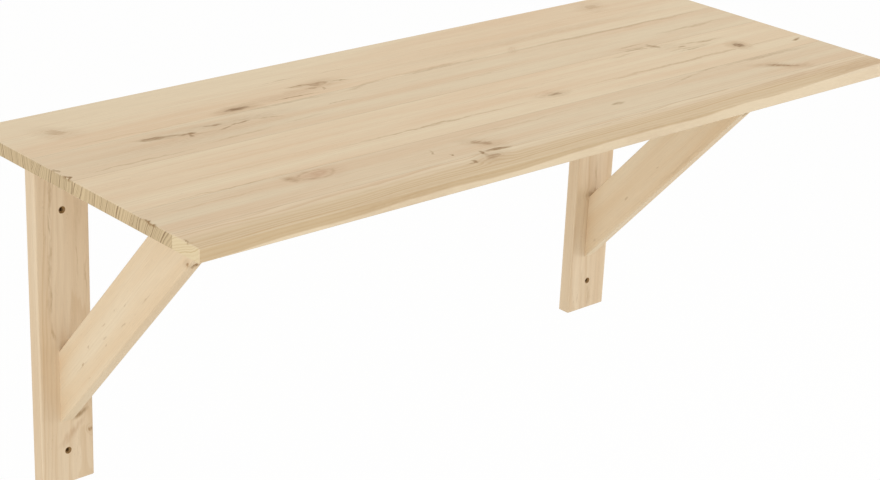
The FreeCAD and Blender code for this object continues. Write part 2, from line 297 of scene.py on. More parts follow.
def makeMarkGroup(isKnot):
    inputs = {"Position": "Vector", "Centre": "Vector", "Turn": "Float", "Half Size": "Vector",
              "Softness": "Float", "Heart": "Vector", "Marks": "Vector"}
    outputs = {"Marks": "Vector"}
    if isKnot:
        inputs |= {"Rim": "Vector", "Halo": "Vector", "Lift": "Float", "Bend": "Float"}
        outputs |= {"Bend": "Float"}
    group, given, result = newGroup("pine knot" if isKnot else "pine streak", inputs, outputs)
    given = given.outputs
    offset = addNode(group, "VectorMath", {0: given["Position"], 1: given["Centre"]}, operation="SUBTRACT")
    turned = addNode(group, "VectorRotate", {"Vector": offset, "Angle": given["Turn"]},
                     rotation_type="Z_AXIS")
    scaled = addNode(group, "VectorMath", {0: turned, 1: given["Half Size"]}, operation="DIVIDE")
    size = addNode(group, "VectorMath", {0: scaled}, operation="LENGTH").outputs["Value"]
    inside = addNode(group, "Math", {0: 1, 1: given["Softness"]}, operation="SUBTRACT")
    heart = addNode(group, "MapRange", {"Value": size, "From Min": 1, "From Max": inside},
                    interpolation_type="SMOOTHSTEP")
    shapes = {"Heart": heart}
    if isKnot:
        fromRim = addNode(group, "Math", {0: size, 1: knotShape["rimAt"]}, operation="SUBTRACT")
        fromRim = addNode(group, "Math", {0: fromRim}, operation="ABSOLUTE")
        shapes["Rim"] = addNode(group, "MapRange", {"Value": fromRim} | knotShape["rim"],
                                interpolation_type="SMOOTHSTEP")
        shapes["Halo"] = addNode(group, "MapRange", {"Value": size} | knotShape["halo"],
                                 interpolation_type="SMOOTHSTEP")
        push = addNode(group, "MapRange", {"Value": size, "To Max": given["Lift"]} | knotShape["push"],
                       interpolation_type="SMOOTHERSTEP")
        bend = addNode(group, "Math", {0: given["Bend"], 1: push}, operation="ADD")
        group.links.new(bend.outputs[0], result.inputs["Bend"])
    marks = given["Marks"]
    for mix, shape in shapes.items():
        added = addNode(group, "VectorMath", {0: given[mix], "Scale": shape}, operation="SCALE")
        marks = addNode(group, "VectorMath", {0: marks, 1: added}, operation="MAXIMUM")
    group.links.new(marks.outputs[0], result.inputs["Marks"])
    return group


grainGroup = makeGrainGroup()
knotGroup = makeMarkGroup(True)
streakGroup = makeMarkGroup(False)

# How brown, red and black each kind of mark is, how soft its edge is, how deep it goes, and how many
# millimetres a knot lifts the year rings. A clean one keeps its even outline.
markKinds = {
    "blackKnot": {"heart": (1, 0.1, 0.3), "rim": (0, 0, 0), "halo": (0.3, 0.1, 0),
                  "soft": 0.6, "deepMm": 60, "lift": 7},
    "brownKnot": {"heart": (0.42, 0.12, 0), "rim": (0.15, 0, 0), "halo": (0.1, 0.05, 0),
                  "soft": 0.7, "deepMm": 60, "lift": 6},
    "darkKnot": {"heart": (0.75, 0.15, 0.06), "rim": (0.25, 0, 0), "halo": (0.15, 0.06, 0),
                 "soft": 0.6, "deepMm": 60, "lift": 6},
    "redKnot": {"heart": (0.12, 0.4, 0), "rim": (0.35, 0.1, 0), "halo": (0.06, 0.12, 0),
                "soft": 0.6, "deepMm": 60, "lift": 7},
    "resin": {"heart": (0.9, 0, 0.12), "soft": 0.75, "deepMm": 30},
    "crack": {"heart": (0.9, 0, 0.12), "soft": 0.75, "deepMm": 12},
    "canal": {"heart": (0.55, 0.1, 0.05), "soft": 0.9, "deepMm": 20},
    "darkYear": {"heart": (0.38, 0.04, 0), "soft": 0.9, "deepMm": 400},
    "band": {"heart": (0.14, 0.14, 0), "soft": 0.9, "deepMm": 400},
    "darkEndLine": {"heart": (1, 0, 0.2), "soft": 0.8, "deepMm": 5},
    # painted shadow: a soft dark wedge on the post where a brace's underside meets it
    "paintedShadow": {"heart": (0.7, 0, 0.12), "soft": 0.95, "deepMm": 5, "clean": True},
    # darker end grain in a countersink, with painted shade down in the bore
    "bore": {"heart": (1.4, 0, 0.26), "soft": 0.12, "deepMm": 400, "clean": True},
}

pine = {
    "spring": "#d3c0a0",
    "warm": "#cfb593",
    "summer": "#ba9973",  # the darker late wood
    "sap": "#e0cdae",
    "edgeBand": "#c9b18c",  # heartwood beside the sap
    "bandSummer": "#b48f60",
    "brown": "#94713f",
    "red": "#ad7d58",
    "black": "#3d2a10",
    "fleck": "#8d6f4b",
    "glue": "#8d7250",
    "endSpring": "#c4ae88",
    "endSummer": "#6f502d",
    # painted highlight: a paler colour along the rounded arrises
    "arris": "#d8c8ac",
    "patternsMm": {"ragged": (50, 18, 3, 0.6), "mottle": (12, 3, 1, 0.5)},  # as in pineGrain
    "raggedReachMm": (30, 17, 0),  # along the grain, across it and in depth
    "mottle": {"From Min": 0.35, "From Max": 0.65, "To Min": 0.65, "To Max": 1.25},
    "toneEdge": {"From Min": 0.36, "From Max": 0.66},
    "bandEdgeMm": (9, -9),  # from common heartwood to the band
    "sapEdgeMm": (-1.5, 0.5),  # from heartwood to sapwood
    "endEdge": {"From Min": 0.6, "From Max": 0.85},  # how squarely a face cuts the grain
    "arrisEdge": {"From Min": 0.97, "From Max": 0.8, "To Max": 0.3},
    "seam": {"From Min": 0.5, "From Max": 0.15, "To Max": 0.5},  # from millimetres to a share of glue
    "fibreEdge": {"From Min": 0.3, "From Max": 0.7},
    "fibreShades": (0.96, 1.04),
    "openFibreMm": 0.05,
    "roughness": {"To Min": 0.68, "To Max": 0.56},
    "ior": 1.5,
}


def pineBoard(name, board):
    # Sawn, planed and sanded pine: matt, with open fibres and no varnish
    material, tree = newMaterial("raw pine " + name.replace("_", " "))
    look = pine | board
    along = Vector(board["along"]).normalized()
    across = Vector(board["across"]).normalized()
    axes = Matrix((along, across, along.cross(across)))
    seen = addNode(tree, "TexCoord")
    place = addNode(tree, "Mapping", {
        "Vector": seen.outputs["Object"], "Location": -(axes @ Vector(board["origin"])) / mm,
        "Rotation": axes.to_euler(), "Scale": (1 / mm, 1 / mm, 1 / mm)})

    patterns = patternsAlong(tree, place, look["patternsMm"])

    # Hardly an outline in wood is an even ellipse
    ragged = addNode(tree, "VectorMath", {0: patterns["ragged"].outputs["Color"], 1: (0.5, 0.5, 0.5)},
                     operation="SUBTRACT")
    ragged = addNode(tree, "VectorMath", {0: ragged, 1: look["raggedReachMm"], 2: place},
                     operation="MULTIPLY_ADD")

    marks = (0, 0, 0)
    bend = 0
    for kind, (alongMm, acrossMm), (lengthMm, widthMm), turn, strength in board["marks"]:
        mark = markKinds[kind]
        given = {"Position": place if "clean" in mark else ragged,
                 "Centre": (alongMm, acrossMm, board["faceMm"]), "Turn": math.radians(-turn),
                 "Half Size": (lengthMm / 2, widthMm / 2, mark["deepMm"]), "Softness": mark["soft"],
                 "Heart": Vector(mark["heart"]) * strength, "Marks": marks}
        if "rim" in mark:
            given |= {"Rim": Vector(mark["rim"]) * strength, "Halo": Vector(mark["halo"]) * strength,
                      "Lift": mark["lift"] * strength, "Bend": bend}
        mark = addNode(tree, "Group", given, node_tree=knotGroup if "rim" in mark else streakGroup)
        marks = mark.outputs["Marks"]
        bend = mark.outputs.get("Bend", bend)

    # Darker and paler fibres run through every mark
    mottle = addNode(tree, "MapRange", {"Value": patterns["mottle"]} | look["mottle"])
    marks = addNode(tree, "VectorMath", {0: marks, "Scale": mottle}, operation="SCALE")
    marks = addNode(tree, "SeparateXYZ", {0: marks})
    grain = addNode(tree, "Group", {
        "Position": place, "Seed": board["seed"], "Pith": (0, *board["pithMm"]),
        "Lean": (0, *board["lean"]), "Ring Width": board["ringMm"], "Wander": board["wanderMm"],
        "Bend": bend}, node_tree=grainGroup).outputs

    # Each layer over the spring wood is a share and its colour
    tone = addNode(tree, "MapRange", {"Value": grain["Tone"]} | look["toneEdge"])
    late = addNode(tree, "Math", {0: grain["Late"], 1: board["contrast"]}, operation="MULTIPLY")
    layers = [(tone, look["warm"]), (late, look["summer"])]
    if "sapMm" in board:  # the pale sapwood, and the darker heartwood that borders it
        inward = addNode(tree, "SeparateXYZ", {0: ragged}).outputs[1]
        outer, inner = look["bandEdgeMm"]
        band = addNode(tree, "MapRange", {"Value": inward, "From Min": board["bandMm"] + outer,
                                          "From Max": board["bandMm"] + inner})
        bandLate = addNode(tree, "Math", {0: band, 1: late}, operation="MULTIPLY")
        inner, outer = look["sapEdgeMm"]
        sap = addNode(tree, "MapRange", {"Value": grain["Radius"], "From Min": board["sapMm"] + inner,
                                         "From Max": board["sapMm"] + outer})
        layers += [(band, look["edgeBand"]), (bandLate, look["bandSummer"]), (sap, look["sap"])]
    flecks = addNode(tree, "Math", {0: grain["Flecks"], 1: board["flecks"]}, operation="MULTIPLY")
    layers.append((flecks, look["fleck"]))

    # Sawn ends drink light, with the rings plain to see. The arrises get painted light: a paler painted
    # highlight, and a darker painted shade on the braces
    facing = addNode(tree, "NewGeometry").outputs["True Normal"]
    facing = [addNode(tree, "VectorMath", {0: facing, 1: axis}, operation="DOT_PRODUCT").outputs["Value"]
              for axis in axes]
    facing = [addNode(tree, "Math", {0: share}, operation="ABSOLUTE") for share in facing]
    endness = addNode(tree, "MapRange", {"Value": facing[0]} | look["endEdge"])
    sawn = addNode(tree, "Mix", {0: grain["Late"], 6: linearColour(look["endSpring"]),
                                 7: linearColour(look["endSummer"])}, data_type="RGBA").outputs[2]
    flat = addNode(tree, "Math", {0: facing[1], 1: facing[2]}, operation="MAXIMUM")
    flat = addNode(tree, "Math", {0: flat, 1: facing[0]}, operation="MAXIMUM")
    arris = addNode(tree, "MapRange", {"Value": flat} | look["arrisEdge"])
    layers += [(endness, sawn), (arris, look["arris"])]

    width = addNode(tree, "SeparateXYZ", {0: place}).outputs[1]
    for jointMm in board.get("jointsMm", ()):  # a hair of glue between two staves
        seam = addNode(tree, "Math", {0: width, 1: jointMm}, operation="SUBTRACT")
        seam = addNode(tree, "Math", {0: seam}, operation="ABSOLUTE")
        seam = addNode(tree, "MapRange", {"Value": seam} | look["seam"])
        layers.append((seam, look["glue"]))
    for channel, colour in enumerate(("brown", "red", "black")):
        layers.append((marks.outputs[channel], look[colour]))

    wood = linearColour(look["spring"])
    for share, colour in layers:
        colour = linearColour(colour) if isinstance(colour, str) else colour
        wood = addNode(tree, "Mix", {0: share, 6: wood, 7: colour}, data_type="RGBA").outputs[2]
    dark, pale = (shade * board["shade"] for shade in look["fibreShades"])
    fibre = addNode(tree, "MapRange", {"Value": grain["Fibre"], "To Min": dark, "To Max": pale}
                    | look["fibreEdge"])
    wood = addNode(tree, "VectorMath", {0: wood, "Scale": fibre}, operation="SCALE")

    # Relief in millimetres: the fibres stand open
    roughness = addNode(tree, "MapRange", {"Value": grain["Fibre"]} | look["roughness"])
    relief = addNode(tree, "Math", {0: grain["Fibre"], 1: look["openFibreMm"]}, operation="MULTIPLY")
    bump = addNode(tree, "Bump", {"Height": relief, "Distance": mm, "Strength": 1})
    skin = addNode(tree, "BsdfPrincipled", {"Base Color": wood, "Roughness": roughness,
                                            "IOR": look["ior"], "Normal": bump})
    addNode(tree, "OutputMaterial", {"Surface": skin})
    return material


def dress(name, material):  # a loaded node keeps its mesh and gets the material
    nodes[name].data.materials.clear()
    nodes[name].data.materials.append(material)


# The top: five staves, glued edge to edge. Its places are (x, y) in millimetres from the middle of
# the edge at the wall, and a pith's are (y, z) from the middle of the thickness, as is the marked face.

topBoard = {
    "along": (1, 0, 0), "across": (0, 1, 0), "faceMm": 9, "contrast": 0.3, "flecks": 0.2,
    "ringMm": 3.2, "wanderMm": 9, "markSpareMm": 6,
}
topStaves = {
    "top_stave_rear": {"seed": 1, "pithMm": (60, -40), "lean": (0.01, 0.004), "shade": 1},
    "top_stave_second": {"seed": 2, "pithMm": (-60, 45), "lean": (-0.01, 0.004), "shade": 0.97},
    "top_stave_middle": {"seed": 3, "pithMm": (-430, -50), "lean": (0.012, 0), "shade": 1.01},
    "top_stave_fourth": {"seed": 4, "pithMm": (-520, -60), "lean": (0.006, 0.003), "shade": 0.96},
    "top_stave_front": {"seed": 5, "pithMm": (-385, 119), "lean": (0.02, 0), "shade": 0.99,
                        "sapMm": 148, "bandMm": -443, "wanderMm": 14, "ringMm": 4, "contrast": 0.7,
                        "endSummer": "#bda47a", "endSpring": "#d2c09c"},
}
# Kind, place, (length, width), turn in degrees from the grain, strength
topMarks = [
    ("brownKnot", (-528, -72), (42, 26), -45, 1),
    ("brownKnot", (442, -32), (42, 28), 20, 0.9),
    ("crack", (-174, -58), (90, 2), 0, 0.4),
    ("darkYear", (-91, -65), (60, 4), 0, 0.4),
    ("darkKnot", (-139, -97), (46, 22), 2, 0.8),
    ("darkYear", (-157, -95), (70, 16), -6, 1),
    ("crack", (-166, -92), (60, 6), -4, 1),
    ("crack", (-159, -106), (30, 3), -4, 0.6),
    ("crack", (-106, -102), (42, 4), -13, 0.7),
    ("crack", (-147, -116), (22, 4), 48, 0.7),
    ("crack", (-199, -125), (100, 5), -4, 0.7),
    ("blackKnot", (-290, -123), (50, 17), 3, 0.85),
    ("darkYear", (-269, -137), (50, 6), -12, 0.8),
    ("band", (253, -97), (760, 34), 0, 0.7),
    ("darkYear", (-455, -127), (330, 6), -2.4, 0.5),
    ("darkYear", (-223, -137), (230, 8), -3.2, 0.8),
    ("darkYear", (-90, -135), (130, 8), 8.6, 0.8),
    ("darkYear", (44, -131), (240, 12), -2.2, 0.9),
    ("darkYear", (372, -136), (560, 11), -0.7, 0.9),
    ("redKnot", (182, -131), (30, 9), 35, 0.45),
    ("band", (-400, -182), (500, 70), 0, 0.6),
    ("band", (-340, -157), (320, 36), -4, 1),
    ("band", (-191, -111), (260, 34), 5, 1),
    ("darkYear", (-400, -169), (130, 9), -7, 0.9),
    ("darkYear", (-300, -162), (110, 8), -6, 0.7),
    ("resin", (-438, -158), (78, 13), -9, 0.85),
    ("crack", (-409, -163), (44, 8), -9, 0.8),
    ("crack", (-397, -165), (22, 10), -12, 1),
    ("crack", (-398, -170), (24, 8), -75, 0.9),
    ("resin", (-347, -173), (36, 7), 10, 0.7),
    ("crack", (-351, -155), (36, 7), -11, 0.8),
    ("resin", (-321, -168), (46, 6), 6, 0.8),
    ("crack", (-162, -173), (64, 2.5), 0, 0.5),
    ("darkYear", (-281, -171), (64, 9), -14, 1),
    ("darkYear", (-499, -213), (240, 5), 0, 0.9),
    ("darkYear", (-350, -205), (150, 7), 4, 0.8),
    ("darkYear", (-240, -198), (130, 9), 4, 0.45),
    ("darkYear", (71, -192), (250, 4), 0, 0.45),
    ("darkYear", (494, -189), (210, 11), 1.5, 0.8),
    ("darkYear", (341, -220), (110, 7), -8, 1),
    ("darkYear", (433, -248), (130, 7), -6, 1),
    ("darkYear", (409, -263), (140, 6), -3, 0.9),
    ("darkYear", (301, -238), (90, 6), 4, 0.7),
    ("resin", (367, -230), (15, 34), -12, 0.75),
    ("crack", (338, -227), (60, 7), -8, 0.6),
    ("brownKnot", (387, -243), (110, 44), -10, 0.3),
    ("resin", (401, -254), (18, 8), -15, 0.9),
    ("crack", (451, -253), (60, 6), 3, 0.6),
    ("crack", (410, -268), (90, 5), 0, 0.5),
    ("crack", (340, -211), (70, 4), 0, 0.4),
    ("darkYear", (62, -266), (300, 4), 0, 0.4),
    ("blackKnot", (480, -295), (22, 26), 0, 0.85),
    ("darkYear", (-449, -302), (300, 7), 0, 0.4),
    ("darkYear", (-124, -310), (420, 7), 0, 1.2),
    ("blackKnot", (94, -308), (32, 11), 0, 0.6),
    ("redKnot", (86, -301), (44, 12), 6, 0.35),
    ("darkYear", (358, -305), (540, 9), 0, 1),
    ("resin", (577, -322), (30, 7), 4, 0.85),
    ("darkYear", (-469, -344), (290, 4), 0, 0.9),
    ("resin", (-431, -344), (40, 4), 0, 0.4),
    ("redKnot", (-356, -367), (48, 28), -3, 0.9),
    ("darkYear", (-389, -364), (30, 30), 14, 1.5),
    ("crack", (-392, -365), (36, 6), -78, 0.35),
    ("crack", (-370, -376), (50, 6), -8, 0.4),
    ("darkYear", (-489, -369), (240, 5), 0, 0.5),
    ("darkYear", (-19, -368), (360, 5), 0, 0.5),
    ("darkYear", (293, -361), (120, 6), 9, 0.8),
    ("darkYear", (353, -350), (70, 7), 0, 0.9),
    ("darkYear", (467, -352), (240, 10), -1, 0.9),
    ("darkKnot", (-118, -396), (40, 20), -48, 0.75),
    ("crack", (-192, -388), (7, 20), 0, 0.5),
    ("resin", (-180, -410), (6, 6), 0, 0.8),
    ("resin", (137, -383), (32, 10), 0, 0.6),
    ("darkKnot", (455, -395), (62, 15), -33, 0.95),
    ("darkKnot", (-141, -440), (38, 22), 10, 0.75),
    ("crack", (-117, -424), (50, 6), -4, 1),
    ("crack", (-138, -426), (9, 20), -10, 1),
    ("resin", (-172, -442), (11, 12), 0, 1),
    ("crack", (-180, -444), (50, 3), 0, 0.6),
    ("darkYear", (83, -433), (320, 3.5), 0, 0.8),
    ("band", (442, -440), (360, 26), 0, 0.7),
    ("band", (556, -459), (240, 50), 0, 1.1),
    ("band", (-304, -478), (320, 22), 0, 0.6),
    ("band", (93, -479), (420, 20), 0, 0.6),
    # Dark lines along the upper arris of the sawn left end
    ("darkEndLine", (-600, -186), (6, 20), 0, 0.7),
    ("darkEndLine", (-600, -214), (8, 26), 0, 1),
    ("darkEndLine", (-600, -381), (7, 44), 0, 1),
    ("darkEndLine", (-598, -450), (5, 16), 10, 0.6),
]


def reaches(mark, lowMm, highMm):  # whether a mark of the top may touch the stave between two depths
    lengthMm, widthMm = mark[2]
    turn = math.radians(mark[3])
    reach = abs(lengthMm * math.sin(turn)) + abs(widthMm * math.cos(turn)) + topBoard["markSpareMm"]
    return lowMm - reach < mark[1][1] < highMm + reach


def grainTop():
    low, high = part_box("top_stave_rear")
    origin = (0, high.y, (low.z + high.z) / 2)
    outerMm = (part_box("top_stave_front")[0].y / mm, high.y / mm)
    for name, stave in topStaves.items():
        edgesMm = [corner.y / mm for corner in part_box(name)]
        joints = [edge for edge in edgesMm if edge not in outerMm]
        marks = [mark for mark in topMarks if reaches(mark, *edgesMm)]
        own = {"origin": origin, "jointsMm": joints, "marks": marks}
        dress(name, pineBoard(name, topBoard | stave | own))


grainTop()
print("top grained")

# The posts: marks are (height above the middle, distance from the centre line) on the room side

postBoard = {
    "along": (0, 0, 1), "across": (1, 0, 0), "faceMm": -10, "contrast": 0.4, "flecks": 0.25,
    "ringMm": 3.4, "wanderMm": 8, "shade": 1, "spring": "#d7c3a6", "warm": "#ceb696", "summer": "#ba9a71",
}
# the wall bores: darker end grain in the countersinks, and painted shade down in the holes
wallHoles = [("bore", (-202, 0), (10.4, 10.4), 0, 1), ("bore", (142, 0), (10.4, 10.4), 0, 1)]
posts = {
    "left_post": {"seed": 11, "pithMm": (24, 90), "lean": (0.01, 0.01), "marks": [
        ("crack", (185, -13), (28, 2.5), 0, 0.6),
        ("darkYear", (160, -17), (90, 5), 0, 0.9),
        ("darkYear", (116, -26), (60, 3), 0, 0.6),
        ("darkYear", (61, -20), (170, 5), 2, 1),
        ("crack", (126, -20), (30, 4), -3, 0.4),
        ("crack", (59, -18), (26, 3), 0, 0.4),
        ("crack", (19, -20), (44, 3), 0, 0.4),
        ("darkYear", (-24, -18), (40, 5), -8, 1),
        ("darkYear", (71, 20), (90, 2.5), 0, 0.7),
        ("darkYear", (41, 33), (90, 2.5), 0, 0.7),
        ("darkYear", (131, 23), (110, 16), 0, 0.4),
        # painted shadow under the brace's foot, on the post just below the brace's underside
        ("paintedShadow", (-153, 20), (36, 11), 62, 1),
        ("darkKnot", (-183, 35), (9, 7), 0, 0.8),
        # a darker diagonal streak down from under the brace's foot: dark wood figure with the brace's
        # painted shade on it
        ("band", (-176, 8), (74, 18), 45, 1.3),
        ("darkYear", (-213, 14), (54, 3), 0, 0.5),
    ]},
    "right_post": {"seed": 12, "pithMm": (-40, 100), "lean": (-0.012, 0.006), "marks": [
        ("darkYear", (-15, 2), (66, 7), 0, 0.8),
        ("darkYear", (-43, 2), (14, 6), 0, 1),
        # painted shade in the corner above the brace's foot, drawn as a faint dark knot
        ("darkKnot", (-50, -13), (11, 13), 0, 0.3),
        ("darkYear", (-229, 3), (56, 9), 0, 0.9),
        ("darkYear", (-228, -22), (18, 3), 0, 0.6),
    ]},
}
for name, post in posts.items():
    low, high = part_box(name)
    post["marks"] += wallHoles
    dress(name, pineBoard(name, postBoard | post | {"origin": (low + high) / 2}))
print("posts grained")

# The braces: marks are (distance out along the grain, distance below the upper edge) on the left
# side, from the corner where the upper edge meets the post

slope = math.radians(48)
braceDepth = 0.07
braceBoard = {
    "along": (0, -math.cos(slope), math.sin(slope)), "across": (0, -math.sin(slope), -math.cos(slope)),
    "faceMm": -10, "contrast": 0.2, "flecks": 0.15, "ringMm": 2.6, "wanderMm": 6, "shade": 1,
    # the braces' arrises are darker: painted shade along their edges
    "spring": "#dac8ab", "warm": "#d6bf9e", "summer": "#c3a57c", "arris": "#bda988",
}
braces = {
    "left_brace": {"seed": 21, "pithMm": (130, 40), "lean": (0, 0.01), "marks": [
        ("canal", (72, 31), (9, 3), 0, 0.5),
        ("canal", (128, 29), (18, 3.5), 0, 0.7),
        ("canal", (170, 28), (9, 3), 0, 0.6),
        ("canal", (198, 37), (9, 2.5), 0, 0.5),
        ("canal", (36, 42), (56, 2.5), 0, 0.5),
        ("canal", (40, 40), (12, 5), 0, 1.1),
        ("canal", (118, 41), (20, 3.5), 0, 0.7),
        ("canal", (114, 49), (8, 3), 0, 0.5),
        ("canal", (172, 53), (24, 3), 0, 0.7),
        ("canal", (42, 60), (10, 4), 0, 0.5),
        ("darkYear", (246, 52), (40, 3), 0, 0.6),
        ("darkKnot", (357, 66), (11, 8), 0, 1.2),
    ]},
    "right_brace": {"seed": 22, "pithMm": (150, 50), "lean": (0.01, 0), "marks": [
        ("canal", (73, 45), (12, 5), 0, 0.7),
        ("canal", (163, 41), (10, 3), 0, 0.5),
        ("canal", (-38, 58), (16, 4), 0, 0.5),
        ("darkYear", (204, 64), (160, 6), 0, 0.4),
    ]},
}
for name, brace in braces.items():
    low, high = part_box(name)
    corner = ((low.x + high.x) / 2, high.y, low.z + braceDepth / math.cos(slope))
    dress(name, pineBoard(name, braceBoard | brace | {"origin": corner}))
print("braces grained")

# The fixings, as they are bought. All are hidden but the heads of the foot screws at the back and
# of the top screws in their bores.

screw = {
    "turnedSides": 32,
    "smoothDegrees": 35,
    "headMm": 7.98,
    "panMm": 2.6,  # height of a flat-bottomed head
    "panRoundMm": 1.3,
    "panSegments": 6,
    "shankMm": 2.9,
    "coreMm": 2.6,
    "stepMm": 0.6,  # from the shank down to the core
    "pointMm": 4,
    "tipMm": ((0.12, 0.05), (0.02, 0)),  # radius and height, from the end
    "plainShare": 0.36,  # of the length, above the thread
    "bareMm": (1, 0.6),  # above and below the thread
    "recessMm": (4.4, 1.1, 1.7),  # span, width and depth of the cross
    "recessTaper": 0.8,
    "ridgeMm": (1.2, 1.98, 0.85, 0.16),  # inner and outer radius, thickness at the core and crest
    "pitchMm": 1.8,
    "pitchSteps": 24,
    "sliceMm": 0.2,
    "tipLeadMm": 0.5,  # how far below its foot the ridge would come to nothing
    "runOut": (0.66, 0.5),  # share of its radius at its upper end, and what that gains in a turn
    "leastShare": 0.1,
    "mergeMm": (0.002, 0.001),  # in the ridge and in the whole screw
    "zinc": "#c9ccd2",
    "yellowed": "#c8bfa0",  # the passivated film, in cloudy patches
    "cloudMm": 4,
    "cloudEdge": {"From Min": 0.42, "From Max": 0.62},
    "scuffMm": 0.7,  # coarser than real ones, which are too fine to show
    "scuffDepthMm": 0.01,
    "scuffStrength": 0.5,
    "roughness": {"From Min": 0.3, "From Max": 0.7, "To Min": 0.24, "To Max": 0.42},
}
squarely = 0.99  # cosine between two directions that count as one


def selectWhere(piece, kind, test):  # its "vertices" or "polygons", from and back to edit mode
    bpy.ops.mesh.select_all(action="DESELECT")
    bpy.ops.object.mode_set(mode="OBJECT")
    for element in getattr(piece.data, kind):
        element.select = test(element)
    bpy.ops.object.mode_set(mode="EDIT")


def turnedPiece(name, profileMm, sides):  # radius and height pairs; the first and last ring are closed
    bpy.ops.object.select_all(action="DESELECT")
    radius, height = profileMm[0]
    bpy.ops.mesh.primitive_circle_add(vertices=sides, radius=radius * mm, fill_type="NGON",
                                      location=(0, 0, height * mm))
    piece = bpy.context.object
    piece.name = name
    bpy.ops.object.transform_apply(location=True, rotation=True, scale=True)
    bpy.ops.object.mode_set(mode="EDIT")
    for nextRadius, nextHeight in profileMm[1:]:
        bpy.ops.mesh.extrude_region_move(
            TRANSFORM_OT_translate={"value": (0, 0, (nextHeight - height) * mm)})
        share = nextRadius / radius
        bpy.ops.transform.resize(value=(share, share, 1), center_override=(0, 0, nextHeight * mm))
        radius, height = nextRadius, nextHeight
    bpy.ops.mesh.select_all(action="SELECT")
    bpy.ops.mesh.normals_make_consistent(inside=False)
    bpy.ops.object.mode_set(mode="OBJECT")
    return piece


def useModifier(piece, kind, **settings):
    bpy.context.view_layer.objects.active = piece
    modifier = piece.modifiers.new(kind.lower(), kind)
    for name, setting in settings.items():
        setattr(modifier, name, setting)
    bpy.ops.object.modifier_apply(modifier=modifier.name)


def crossCutter():  # the shape of the driver's tip
    span, width, depth = screw["recessMm"]
    bpy.ops.object.select_all(action="DESELECT")
    bpy.ops.mesh.primitive_cube_add(size=1, scale=(width * mm, width * mm, 2 * depth * mm))
    cutter = bpy.context.object
    cutter.name = "cross"
    bpy.ops.object.transform_apply(location=True, rotation=True, scale=True)
    bpy.ops.object.mode_set(mode="EDIT")
    for way in ((1, 0, 0), (-1, 0, 0), (0, 1, 0), (0, -1, 0)):
        selectWhere(cutter, "polygons", lambda face: face.center.normalized().dot(way) > squarely)
        reach = Vector(way) * (span - width) / 2 * mm
        bpy.ops.mesh.extrude_region_move(TRANSFORM_OT_translate={"value": reach})
    selectWhere(cutter, "polygons", lambda face: face.normal.z < -squarely)
    taper = screw["recessTaper"]
    bpy.ops.transform.resize(value=(taper, taper, 1), center_override=(0, 0, -depth * mm))
    bpy.ops.mesh.select_all(action="SELECT")
    bpy.ops.mesh.normals_make_consistent(inside=False)
    bpy.ops.object.mode_set(mode="OBJECT")
    return cutter


def threadRidge(topMm, bottomMm):  # one helix, thinner at both ends
    inner, outer, thick, crest = screw["ridgeMm"]
    bpy.ops.object.select_all(action="DESELECT")
    bpy.ops.mesh.primitive_plane_add(size=1, location=((inner + outer) / 2 * mm, 0, bottomMm * mm),
                                     rotation=(math.pi / 2, 0, 0))
    ridge = bpy.context.object
    ridge.name = "ridge"
    ridge.scale = ((outer - inner) * mm, thick * mm, 1)
    bpy.ops.object.transform_apply(location=True, rotation=True, scale=True)
    bpy.ops.object.mode_set(mode="EDIT")
    selectWhere(ridge, "vertices", lambda corner: corner.co.x > (inner + outer) / 2 * mm)
    bpy.ops.transform.resize(value=(1, 1, crest / thick), center_override=(outer * mm, 0, bottomMm * mm))
    bpy.ops.mesh.select_all(action="SELECT")
    bpy.ops.mesh.delete(type="ONLY_FACE")
    bpy.ops.object.mode_set(mode="OBJECT")
    turns = int((topMm - bottomMm) / screw["pitchMm"])
    useModifier(ridge, "SCREW", axis="Z", angle=math.tau, screw_offset=screw["pitchMm"] * mm,
                iterations=turns, steps=screw["pitchSteps"], render_steps=screw["pitchSteps"])
    bpy.ops.object.mode_set(mode="EDIT")
    bpy.ops.mesh.select_all(action="SELECT")
    bpy.ops.mesh.remove_doubles(threshold=screw["mergeMm"][0] * mm)
    bpy.ops.mesh.fill_holes(sides=4)
    bpy.ops.mesh.normals_make_consistent(inside=False)

    # Follow the point, and run out at the shank
    endMm = bottomMm + turns * screw["pitchMm"]
    atEnd, perTurn = screw["runOut"]
    height = bottomMm - thick
    while height < endMm + thick:
        middle = height + screw["sliceMm"] / 2
        point = (middle - bottomMm + screw["tipLeadMm"]) / screw["pointMm"]
        runOut = atEnd + perTurn * (endMm - middle) / screw["pitchMm"]
        share = max(min(point, runOut, 1), screw["leastShare"])
        if share < 1:
            selectWhere(ridge, "vertices",
                        lambda corner: 0 <= corner.co.z - height * mm < screw["sliceMm"] * mm)
            bpy.ops.transform.resize(value=(share, share, 1), center_override=(0, 0, height * mm))
        height += screw["sliceMm"]
    bpy.ops.object.mode_set(mode="OBJECT")
    return ridge


